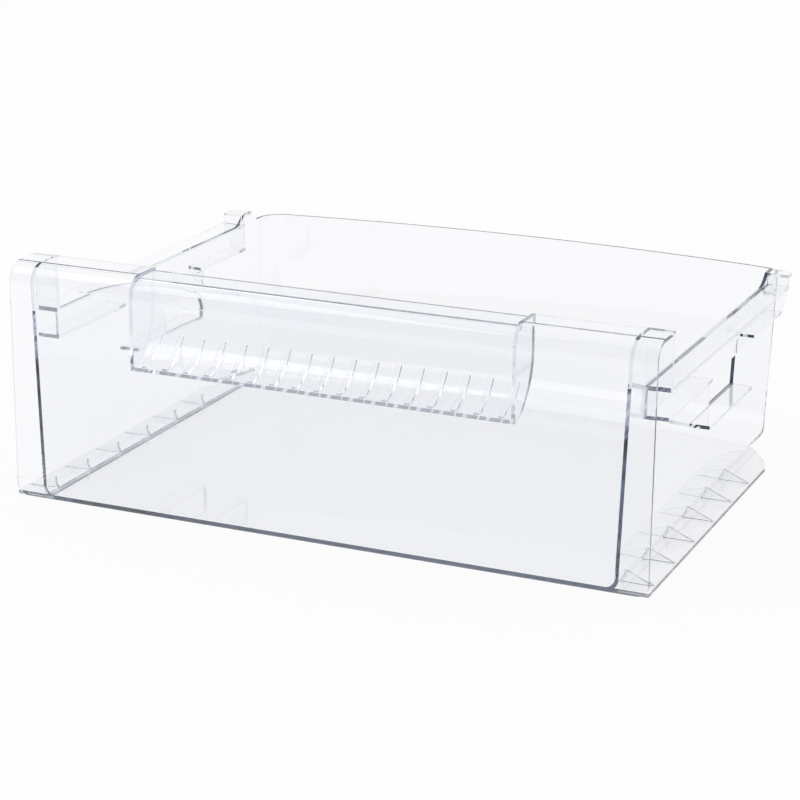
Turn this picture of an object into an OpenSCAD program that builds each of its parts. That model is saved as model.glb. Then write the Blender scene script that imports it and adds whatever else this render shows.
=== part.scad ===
// Clear drawer for a refrigerator or freezer compartment, moulded in one piece.
// The front panel faces -Y and the box is open at the top. The origin is on the
// floor, in the middle of the outside width and depth. Lengths are in
// millimetres and angles in degrees. Sections are drawn with y counted from the
// front face, and the whole drawer is moved onto its origin at the end.

/* [Overall] */
// Width of the front panel
panel_w = 460; // [450:1:475]
// Height of the front panel
panel_h = 165; // [158:1:180]
// Depth from the front face to the middle of the back wall, at the rim
body_depth = 372; // [364:1:400]
// Thickness of every moulded wall
wall = 2.5; // [2:0.1:3]

/* [Box] */
// Outside width of the box on the floor
box_w = 419; // [405:1:425]
// Height of the rim
rim_h = 128; // [122:1:134]
// Outward draft of the side walls
side_draft = 1.75; // [1:0.05:2.5]
// Outward lean of the back wall
back_lean = 2.25; // [1.5:0.05:3]
// How far the middle of the back wall stands out past its ends
back_bow = 17; // [12:0.5:22]
// Radius of the two upright rear corners
corner_r = 20; // [14:1:28]
// Radius along the bottom of the side walls
bottom_r = 9; // [6:0.5:12]
// Radius along the bottom of the back wall
heel_r = 40; // [25:1:50]

/* [Front panel] */
// Radius of the bend between the panel and its top strip
bend_r = 14; // [10:1:18]
// Depth of the flat strip along the top of the panel
strip_depth = 34; // [30:1:40]
// Radius of the bottom corners of the panel
panel_corner_r = 8; // [4:1:14]

/* [Grip pocket] */
// Outside width of the pocket
pocket_w = 276; // [240:1:300]
// Radius of the curved pocket wall, outside
pocket_r = 40; // [37:1:42]
// Height at which the pocket's upright back turns into its curve
pocket_turn_z = 140; // [132:1:144]
// How much lower the grip lip and the pocket back are than the strip
lip_drop = 2; // [0:0.5:4]
// How far the grip lip reaches back from the front face
lip_reach = 12.5; // [8:0.5:15]
// Number of finger ridges on the curve
ridge_count = 17; // [5:2:19]
// Spacing of the finger ridges
ridge_pitch = 16; // [8:0.5:16]
// Width of a finger ridge
ridge_w = 4; // [2:0.5:6]
// Height of a finger ridge above the curve
ridge_h = 1.5; // [0.5:0.1:2]

/* [Runner rails] */
// How far the runner rails reach from the middle of the drawer
rail_reach = 229; // [226:0.5:230]
// Clear height of the runner channel
channel_h = 16.5; // [12:0.5:20]
// How far the channel's inner wall stands out from the side wall
channel_pad = 2; // [1:0.1:3]
// Distance from the front face to the rear end of the rails
rail_end = 311; // [300:1:318]
// Rear end of the front lower plate
front_plate_end = 125; // [100:1:130]
// Front end of the rear lower plate
rear_plate_start = 238; // [232:1:250]
// How far the rear lower plate reaches from the middle of the drawer
rear_plate_reach = 225; // [222:0.5:229]
// Drop of the brace under the rear lower plate
brace_drop = 12; // [6:1:20]

/* [Side windows] */
// Front end of the ledge below the window
ledge_start = 135.5; // [130:0.5:150]
// Rear end of the ledge and of the window
ledge_end = 237; // [225:0.5:245]
// Height of the top of the ledge
ledge_z = 72.5; // [60:0.5:80]
// How far the ledge reaches from the middle of the drawer
ledge_reach = 225.5; // [222:0.5:229]
// Length of the window in the side wall
window_len = 58; // [30:1:80]
// Height of the window in the side wall
window_h = 20.5; // [10:0.5:24]

/* [Rear stops] */
// Height of the stops above the rim
stop_rise = 8; // [5:0.5:10]
// Radius of the ramp in front of a stop
ramp_r = 20; // [12:1:30]
// Distance from the front face to the front of the flat ear
ear_start = 309; // [304:1:312]
// Length of the flat ear along the wall
ear_len = 21; // [16:1:24]

/* [Bottom flange] */
// Distance from the front face to the slanted rear end of the flange
flange_end = 268; // [250:1:275]
// Number of gussets on each side
gusset_count = 6; // [2:1:6]
// Distance from the front face to the first gusset
gusset_start = 16.5; // [10:0.5:30]
// Spacing of the gussets
gusset_pitch = 42.8; // [30:0.2:43]
// Height of the gussets above the flange
gusset_h = 8.2; // [5:0.2:12]
// Thickness of a gusset
gusset_t = 2; // [1.5:0.1:3]

/* [Hidden] */
$fn = 96;
// Segments of the very wide bow of the back wall, and of its heel
bow_fn = 720;
heel_fn = 96;
// Rounds run past the faces they meet by this much, so that they cross them
blend = 0.06;
// Cutting shapes run past the solid by this much
over = 12;
// Tangents of the two wall slopes
draft_tan = tan(side_draft);
lean_tan = tan(back_lean);
// Radius of the bow at the rim, and its centre
half_floor = box_w / 2;
bow_r = (half_floor * half_floor + back_bow * back_bow) / (2 * back_bow);
bow_y = body_depth - bow_r;
// Underside of the strip, the rim plate and the lower plates
rim_under = rim_h - wall;
channel_z = rim_under - channel_h;
// Pocket curve centre
pocket_y = strip_depth - pocket_r;
lip_h = panel_h - lip_drop;
// Length of the curved ramp that lifts the rim to the stop
ramp_len = sqrt(ramp_r * ramp_r - (ramp_r - stop_rise) * (ramp_r - stop_rise));

// Outside face of the side wall at a height
function side_x(z) = half_floor + z * draft_tan;
// Middle of the thickness of the side wall at a height
function wall_x(z) = side_x(z) - wall / 2;
// Outside radius of the back wall about the bow's centre at a height
function bow_at(z) = bow_r - (rim_h - z) * lean_tan;

// A bar across the drawer from an outline drawn as (y, z)
module across(x_from, x_to) {
    translate([x_from, 0, 0])
        rotate([90, 0, 90])
            linear_extrude(x_to - x_from)
                children();
}

// A bar along the drawer from an outline drawn as (x, z)
module along(y_from, y_to) {
    translate([0, y_to, 0])
        rotate([90, 0, 0])
            linear_extrude(y_to - y_from)
                children();
}

// A level plate from an outline drawn as (x, y)
module plate(z_from, z_to) {
    translate([0, 0, z_from])
        linear_extrude(z_to - z_from)
            children();
}

// The same piece on the left and on the right
module both_sides() {
    children();
    mirror([1, 0, 0])
        children();
}

// A rectangle between two corners
module rect(u_from, v_from, u_to, v_to) {
    polygon([[u_from, v_from], [u_to, v_from], [u_to, v_to], [u_from, v_to]]);
}

// What lies outside a round between two directions from its centre, clockwise
module round_trim(r, from_angle, to_angle) {
    far = 3 * r;
    middle = (from_angle + to_angle) / 2;
    difference() {
        polygon([
            [0, 0],
            far * [cos(from_angle), sin(from_angle)],
            2 * far * [cos(middle), sin(middle)],
            far * [cos(to_angle), sin(to_angle)],
        ]);
        circle(r + blend);
    }
}

// Cross section of the box, (x, z), with drafted sides and rounded bottom edges
module box_section(inset) {
    top = panel_h + over;
    side_inset = inset / cos(side_draft);
    x_floor = side_x(inset) - side_inset;
    x_top = side_x(top) - side_inset;
    x_c = side_x(bottom_r) - bottom_r / cos(side_draft);
    difference() {
        polygon([[-x_floor, inset], [x_floor, inset], [x_top, top], [-x_top, top]]);
        for (s = [0, 1])
            mirror([s, 0])
                translate([x_c, bottom_r])
                    round_trim(bottom_r - inset, -90, -side_draft);
    }
}

// Half section of the bowed back, (radius, z), with its rounded heel
module heel_section(inset) {
    top = panel_h + over;
    lean_inset = inset / cos(back_lean);
    r_c = bow_at(heel_r) - heel_r / cos(back_lean);
    difference() {
        polygon([
            [0, -over],
            [bow_at(-over) - lean_inset, -over],
            [bow_at(top) - lean_inset, top],
            [0, top],
        ]);
        translate([r_c, heel_r])
            round_trim(heel_r - inset, -90, -back_lean, $fn = heel_fn);
    }
}

// What is cut away outside a rounded rear corner, leaning with both walls
module corner_trim(inset) {
    x_c = half_floor - corner_r / cos(side_draft);
    turn = asin(x_c / (bow_at(0) - corner_r));
    y_c = bow_y + (bow_at(0) - corner_r) * cos(turn);
    slope_y = (lean_tan - sin(turn) * draft_tan) / cos(turn);
    translate([x_c, y_c, 0])
        rotate([-atan(slope_y * cos(side_draft)), side_draft, 0])
            translate([0, 0, -over])
                linear_extrude(panel_h + 3 * over)
                    round_trim(corner_r - inset, 0, 90 - turn);
}

// The box as a solid block, or its hollow when inset by the wall
module box_block(inset, y_from) {
    difference() {
        intersection() {
            along(y_from, body_depth + over)
                box_section(inset);
            translate([0, bow_y, 0])
                rotate_extrude($fn = bow_fn)
                    heel_section(inset);
        }
        both_sides()
            corner_trim(inset);
    }
}

// Side view of the front panel and strip as a filled outline, (y, z)
module front_outline(inset, height, reach, below) {
    turn_z = height - bend_r;
    polygon([
        [inset, -below],
        [reach, -below],
        [reach, height - inset],
        [bend_r, height - inset],
        [bend_r, turn_z],
        [inset, turn_z],
    ]);
    translate([bend_r, turn_z])
        circle(bend_r - inset);
}

// Side view of the walls, (y, z), with the rim and the rise to the rear stops
module wall_outline() {
    front_outline(wall / 2, panel_h, strip_depth, 0);
    ramp_y = ear_start - ramp_len;
    stop_end = ear_start + ear_len - stop_rise;
    rect(wall / 2, -over, body_depth + over, rim_h);
    difference() {
        polygon([
            [ramp_y, rim_under],
            [ear_start + ear_len, rim_under],
            [ear_start + ear_len, rim_h],
            [stop_end, rim_h + stop_rise],
            [ramp_y, rim_h + stop_rise],
        ]);
        translate([ramp_y, rim_h + ramp_r])
            circle(ramp_r);
    }
}

// Floor, side walls and back wall, with all that stands on their outside
module box_shell() {
    difference() {
        union() {
            intersection() {
                box_block(0, wall / 2);
                across(-panel_w / 2, panel_w / 2)
                    wall_outline();
            }
            both_sides() {
                side_rail();
                side_ledge();
                stop_ear();
                bottom_flange();
            }
        }
        box_block(wall, wall);
        both_sides()
            side_window();
    }
}

// Sheet of the front panel, bent back at the top
module panel_sheet(height, reach) {
    intersection() {
        difference() {
            front_outline(0, height, strip_depth, 0);
            front_outline(wall, height, strip_depth + over, over);
        }
        rect(-over, -over, reach, height + over);
    }
}

module front_panel() {
    pocket_in = pocket_w / 2 - wall;
    corner_x = panel_w / 2 - panel_corner_r;
    difference() {
        union() {
            both_sides()
                across(pocket_in, panel_w / 2)
                    panel_sheet(panel_h, strip_depth);
            across(-pocket_in - wall / 2, pocket_in + wall / 2)
                panel_sheet(lip_h, lip_reach);
        }
        both_sides()
            along(-over, wall + over)
                difference() {
                    rect(corner_x, -over, panel_w / 2 + over, panel_corner_r);
                    translate([corner_x, panel_corner_r])
                        circle(panel_corner_r);
                }
    }
}

// Side view of the pocket as a filled outline, (y, z)
module pocket_outline(inset, height) {
    intersection() {
        union() {
            translate([pocket_y, pocket_turn_z])
                circle(pocket_r - inset);
            rect(pocket_y, pocket_turn_z, strip_depth - inset, height);
        }
        rect(wall / 2, pocket_turn_z - pocket_r - over, strip_depth, height);
    }
}

// Side view of a finger ridge, (y, z)
module ridge_outline() {
    reach_low = pocket_r - 3 * wall / 2;
    z_low = pocket_turn_z - reach_low;
    intersection() {
        translate([pocket_y, pocket_turn_z])
            difference() {
                circle(pocket_r - wall / 2);
                circle(pocket_r - wall - ridge_h);
            }
        rect(wall, z_low, strip_depth, z_low + reach_low / 2);
    }
}

module grip_pocket() {
    half = pocket_w / 2;
    across(-half, half)
        difference() {
            pocket_outline(0, lip_h);
            pocket_outline(wall, lip_h + over);
        }
    both_sides()
        across(half - wall, half)
            intersection() {
                pocket_outline(0, panel_h);
                front_outline(wall / 2, panel_h, strip_depth, 0);
            }
    for (i = [0 : ridge_count - 1]) {
        x = (i - (ridge_count - 1) / 2) * ridge_pitch;
        across(x - ridge_w / 2, x + ridge_w / 2)
            ridge_outline();
    }
}

// Runner rail: a channel that is open outward, in front of and behind the window
module side_rail() {
    front = strip_depth - wall;
    x_low = wall_x(channel_z);
    x_rim = wall_x(rim_h);
    // Rim plate over the channel
    plate(rim_under, rim_h)
        rect(x_rim, front, rail_reach, rail_end);
    // Inner wall of the channel, proud of the side wall
    across(x_low, side_x(channel_z) + channel_pad)
        rect(front, channel_z - wall, rail_end, rim_under + wall / 2);
    // Lower plates
    plate(channel_z - wall, channel_z) {
        rect(x_low, front, rail_reach, front_plate_end);
        rect(x_low, rear_plate_start, rear_plate_reach, rail_end);
    }
    // Brace under the front end of the rear lower plate
    along(rear_plate_start, rear_plate_start + wall)
        polygon([
            [x_low, channel_z - wall / 2],
            [x_low, channel_z - brace_drop - wall],
            [side_x(channel_z), channel_z - brace_drop - wall],
            [rear_plate_reach, channel_z - wall],
            [rear_plate_reach, channel_z - wall / 2],
        ]);
    // Web that closes the front of the rail and carries the end of the strip
    along(front, strip_depth)
        rect(x_rim, rim_under, panel_w / 2, panel_h);
    // Web that closes the rear of the rail and carries the ear
    along(rail_end - wall, rail_end)
        polygon([
            [x_low, channel_z - wall],
            [rear_plate_reach, channel_z - wall],
            [rail_reach, rim_h],
            [rail_reach, rim_h + stop_rise - wall / 2],
            [x_rim, rim_h + stop_rise - wall / 2],
        ]);
}

// Ledge under the window in the side wall
module side_ledge() {
    plate(ledge_z - wall, ledge_z)
        rect(wall_x(ledge_z), ledge_start, ledge_reach, ledge_end);
}

// Flat ear on top of the rear stop
module stop_ear() {
    x_in = wall_x(rim_h);
    ear_end = ear_start + ear_len - stop_rise;
    plate(rim_h + stop_rise - wall, rim_h + stop_rise)
        polygon([
            [x_in, ear_start],
            [rail_reach, ear_start],
            [rail_reach, ear_end - 2 * wall],
            [(x_in + rail_reach) / 2, ear_end],
            [x_in, ear_end],
        ]);
}

// Flange along the floor with its gussets
module bottom_flange() {
    x_in = half_floor - bottom_r;
    x_out = panel_w / 2;
    taper = x_out - half_floor;
    plate(0, wall)
        polygon([
            [x_in, wall / 2],
            [x_out, wall / 2],
            [x_out, flange_end],
            [x_out - taper / 5, flange_end + 2 * taper / 3],
            [half_floor, flange_end + 2 * taper],
            [x_in, flange_end + 2 * taper],
        ]);
    for (i = [0 : gusset_count - 1]) {
        y = gusset_start + i * gusset_pitch;
        along(y - gusset_t / 2, y + gusset_t / 2)
            polygon([
                [x_in, wall / 2],
                [x_out - wall / 2, wall / 2],
                [x_out - wall / 2, wall],
                [side_x(gusset_h), wall + gusset_h],
                [wall_x(gusset_h), wall + gusset_h],
            ]);
    }
}

// Window that goes through the side wall above the ledge
module side_window() {
    across(half_floor - over, rail_reach)
        rect(ledge_end - window_len, ledge_z, ledge_end, ledge_z + window_h);
}

module drawer() {
    color([0.82, 0.86, 0.94, 0.5])
        translate([0, -body_depth / 2, 0])
            union() {
                box_shell();
                front_panel();
                grip_pocket();
            }
}

drawer();
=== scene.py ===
"""A clear moulded refrigerator drawer on a plain pale floor, seen from the front and a little above."""
import math

import bpy
from mathutils import Matrix, Vector

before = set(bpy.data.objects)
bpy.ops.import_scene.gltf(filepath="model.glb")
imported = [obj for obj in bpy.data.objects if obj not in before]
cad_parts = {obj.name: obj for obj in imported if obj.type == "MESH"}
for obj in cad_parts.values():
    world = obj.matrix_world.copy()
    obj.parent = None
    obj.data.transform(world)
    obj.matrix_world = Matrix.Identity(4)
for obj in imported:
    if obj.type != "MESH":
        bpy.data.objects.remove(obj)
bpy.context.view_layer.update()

MM = 0.001

# The camera, as fitted to the photograph: angles in degrees, lengths in metres
CAMERA_AZIMUTH = 23.68
CAMERA_ELEVATION = 17.43
CAMERA_ROLL = 0.48
CAMERA_DISTANCE = 1.7138
CAMERA_TARGET = Vector((-0.0058, -0.036, 0.0557))
FOCAL_PIXELS = 2418.6
IMAGE_PIXELS = 800
SENSOR_MM = 36.0

# The studio
FLOOR_SIZE = 6.0
FLOOR_SHADE = 0.08
WHITE_LEVEL = 1.0
DIM_LEVEL = 0.6

# The plastic
PLASTIC_IOR = 1.57
PLASTIC_TINT = (0.29, 0.36, 0.51)
PLASTIC_DENSITY = 7.5

# The underside has a fine frosted texture, so that it slides well on its shelf
UNDERSIDE_DEPTH = 0.15 * MM
UNDERSIDE_ROUGHNESS = 0.16

# How often light may bounce inside the walls before it is lost, so that their edges glow
EDGE_BOUNCES = 96


def new_material(name):
    material = bpy.data.materials.new(name)
    material.use_nodes = True
    material.node_tree.nodes.clear()
    return material, material.node_tree


def add_node(tree, kind, **inputs):
    """A node of this kind with plain values on its named inputs."""
    node = tree.nodes.new(kind)
    for name, value in inputs.items():
        node.inputs[name.replace("_", " ")].default_value = value
    return node


def plastic_material():
    """Clear, faintly blue plastic with the soft waviness and fine flow marks of a moulding."""
    material, tree = new_material("clear_plastic")
    link = tree.links.new
    place = add_node(tree, "ShaderNodeTexCoord")

    waves = add_node(tree, "ShaderNodeTexNoise", Scale=14.0, Detail=2.0, Roughness=0.4)
    link(place.outputs["Object"], waves.inputs["Vector"])
    marks = add_node(tree, "ShaderNodeTexNoise", Scale=220.0, Detail=3.0, Roughness=0.6)
    link(place.outputs["Object"], marks.inputs["Vector"])

    colour = add_node(tree, "ShaderNodeMix")
    colour.data_type = "RGBA"
    colour.inputs["A"].default_value = (0.97, 0.975, 0.992, 1.0)
    colour.inputs["B"].default_value = (0.985, 0.988, 0.998, 1.0)
    link(waves.outputs["Fac"], colour.inputs["Factor"])

    rough = add_node(tree, "ShaderNodeMapRange")
    rough.inputs["To Min"].default_value = 0.015
    rough.inputs["To Max"].default_value = 0.05
    link(marks.outputs["Fac"], rough.inputs["Value"])
    height = add_node(tree, "ShaderNodeSeparateXYZ")
    link(place.outputs["Object"], height.inputs["Vector"])
    frosted = add_node(tree, "ShaderNodeMath")
    frosted.operation = "LESS_THAN"
    frosted.inputs[1].default_value = UNDERSIDE_DEPTH
    link(height.outputs["Z"], frosted.inputs[0])
    texture = add_node(tree, "ShaderNodeMix")
    texture.inputs["B"].default_value = UNDERSIDE_ROUGHNESS
    link(frosted.outputs[0], texture.inputs["Factor"])
    link(rough.outputs["Result"], texture.inputs["A"])

    bump = add_node(tree, "ShaderNodeBump", Strength=0.12, Distance=0.0006)
    link(waves.outputs["Fac"], bump.inputs["Height"])

    skin = add_node(tree, "ShaderNodeBsdfPrincipled", IOR=PLASTIC_IOR)
    skin.inputs["Transmission Weight"].default_value = 1.0
    link(colour.outputs["Result"], skin.inputs["Base Color"])
    link(texture.outputs["Result"], skin.inputs["Roughness"])
    link(bump.outputs["Normal"], skin.inputs["Normal"])

    depth = add_node(tree, "ShaderNodeVolumeAbsorption", Density=PLASTIC_DENSITY)
    depth.inputs["Color"].default_value = (*PLASTIC_TINT, 1.0)

    out = add_node(tree, "ShaderNodeOutputMaterial")
    link(skin.outputs["BSDF"], out.inputs["Surface"])
    link(depth.outputs["Volume"], out.inputs["Volume"])
    return material


def seen_directly(tree):
    """1 for rays that look at the studio straight, by reflection or through the plastic, and 0 for its light."""
    path = add_node(tree, "ShaderNodeLightPath")
    first = add_node(tree, "ShaderNodeMath")
    first.operation = "MAXIMUM"
    both = add_node(tree, "ShaderNodeMath")
    both.operation = "MAXIMUM"
    tree.links.new(path.outputs["Is Camera Ray"], first.inputs[0])
    tree.links.new(path.outputs["Is Glossy Ray"], first.inputs[1])
    tree.links.new(first.outputs[0], both.inputs[0])
    tree.links.new(path.outputs["Is Transmission Ray"], both.inputs[1])
    return both.outputs[0]


def floor_material():
    """A white studio floor that looks white and keeps a soft share of the shadow."""
    material, tree = new_material("studio_floor")
    link = tree.links.new
    white = add_node(tree, "ShaderNodeEmission", Strength=WHITE_LEVEL)
    matt = add_node(tree, "ShaderNodeBsdfDiffuse")
    matt.inputs["Color"].default_value = (0.9, 0.9, 0.9, 1.0)
    shaded = add_node(tree, "ShaderNodeMixShader", Fac=FLOOR_SHADE)
    link(white.outputs["Emission"], shaded.inputs[1])
    link(matt.outputs["BSDF"], shaded.inputs[2])
    split = add_node(tree, "ShaderNodeMixShader")
    link(seen_directly(tree), split.inputs["Fac"])
    link(matt.outputs["BSDF"], split.inputs[1])
    link(shaded.outputs["Shader"], split.inputs[2])
    out = add_node(tree, "ShaderNodeOutputMaterial")
    link(split.outputs["Shader"], out.inputs["Surface"])
    return material


def make_floor():
    mesh = bpy.data.meshes.new("studio_floor")
    half = FLOOR_SIZE / 2
    corners = [(-half, -half, 0), (half, -half, 0), (half, half, 0), (-half, half, 0)]
    mesh.from_pydata([(x, y, -0.0002) for x, y, _ in corners], [], [(0, 1, 2, 3)])
    floor = bpy.data.objects.new("studio_floor", mesh)
    floor.data.materials.append(floor_material())
    bpy.context.scene.collection.objects.link(floor)
    return floor


def make_world():
    """A white room behind the drawer that is dimmer towards the front, as in a product studio."""
    world = bpy.data.worlds.new("studio")
    world.use_nodes = True
    tree = world.node_tree
    tree.nodes.clear()
    link = tree.links.new
    place = add_node(tree, "ShaderNodeTexCoord")
    split = add_node(tree, "ShaderNodeSeparateXYZ")
    link(place.outputs["Generated"], split.inputs["Vector"])
    toward_back = add_node(tree, "ShaderNodeMapRange")
    toward_back.inputs["From Min"].default_value = -0.6
    toward_back.inputs["From Max"].default_value = 0.35
    toward_back.inputs["To Min"].default_value = DIM_LEVEL
    toward_back.inputs["To Max"].default_value = WHITE_LEVEL
    link(split.outputs["Y"], toward_back.inputs["Value"])
    path = add_node(tree, "ShaderNodeLightPath")
    level = add_node(tree, "ShaderNodeMix")
    level.data_type = "FLOAT"
    level.inputs["B"].default_value = WHITE_LEVEL
    link(path.outputs["Is Camera Ray"], level.inputs["Factor"])
    link(toward_back.outputs["Result"], level.inputs["A"])
    sky = add_node(tree, "ShaderNodeBackground", Color=(1.0, 1.0, 1.0, 1.0))
    link(level.outputs["Result"], sky.inputs["Strength"])
    out = add_node(tree, "ShaderNodeOutputWorld")
    link(sky.outputs["Background"], out.inputs["Surface"])
    bpy.context.scene.world = world


def make_softbox(name, place, size, power):
    """A square lamp that looks at the drawer and leaves no streak on its gloss."""
    lamp = bpy.data.lights.new(name, "AREA")
    lamp.shape = "SQUARE"
    lamp.size = size
    lamp.energy = power
    holder = bpy.data.objects.new(name, lamp)
    holder.location = place
    holder.visible_glossy = False
    holder.rotation_euler = (CAMERA_TARGET - Vector(place)).to_track_quat("-Z", "Y").to_euler()
    bpy.context.scene.collection.objects.link(holder)


def make_camera():
    azimuth, elevation, roll = (
        math.radians(a) for a in (CAMERA_AZIMUTH, CAMERA_ELEVATION, CAMERA_ROLL)
    )
    forward = Vector((
        -math.sin(azimuth) * math.cos(elevation),
        math.cos(azimuth) * math.cos(elevation),
        -math.sin(elevation),
    ))
    level_right = Vector((math.cos(azimuth), math.sin(azimuth), 0))
    level_up = level_right.cross(forward)
    right = level_right * math.cos(roll) + level_up * math.sin(roll)
    up = level_up * math.cos(roll) - level_right * math.sin(roll)
    data = bpy.data.cameras.new("camera")
    data.sensor_fit = "HORIZONTAL"
    data.sensor_width = SENSOR_MM
    data.lens = FOCAL_PIXELS * SENSOR_MM / IMAGE_PIXELS
    camera = bpy.data.objects.new("camera", data)
    turn = Matrix((right, up, -forward)).transposed().to_4x4()
    camera.matrix_world = Matrix.Translation(CAMERA_TARGET - forward * CAMERA_DISTANCE) @ turn
    bpy.context.scene.collection.objects.link(camera)
    bpy.context.scene.camera = camera


def let_light_travel():
    """Light that runs inside the walls comes out at their edges."""
    cycles = bpy.context.scene.cycles
    cycles.max_bounces = EDGE_BOUNCES
    cycles.transmission_bounces = EDGE_BOUNCES
    cycles.glossy_bounces = EDGE_BOUNCES


def dress(node, material):
    node.data.materials.clear()
    node.data.materials.append(material)


bpy.context.scene.view_settings.view_transform = "Standard"
let_light_travel()
dress(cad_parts["drawer"], plastic_material())
make_floor()
make_world()
make_softbox("key_light", (-1.2, -0.6, 1.8), 1.2, 8.0)
make_camera()
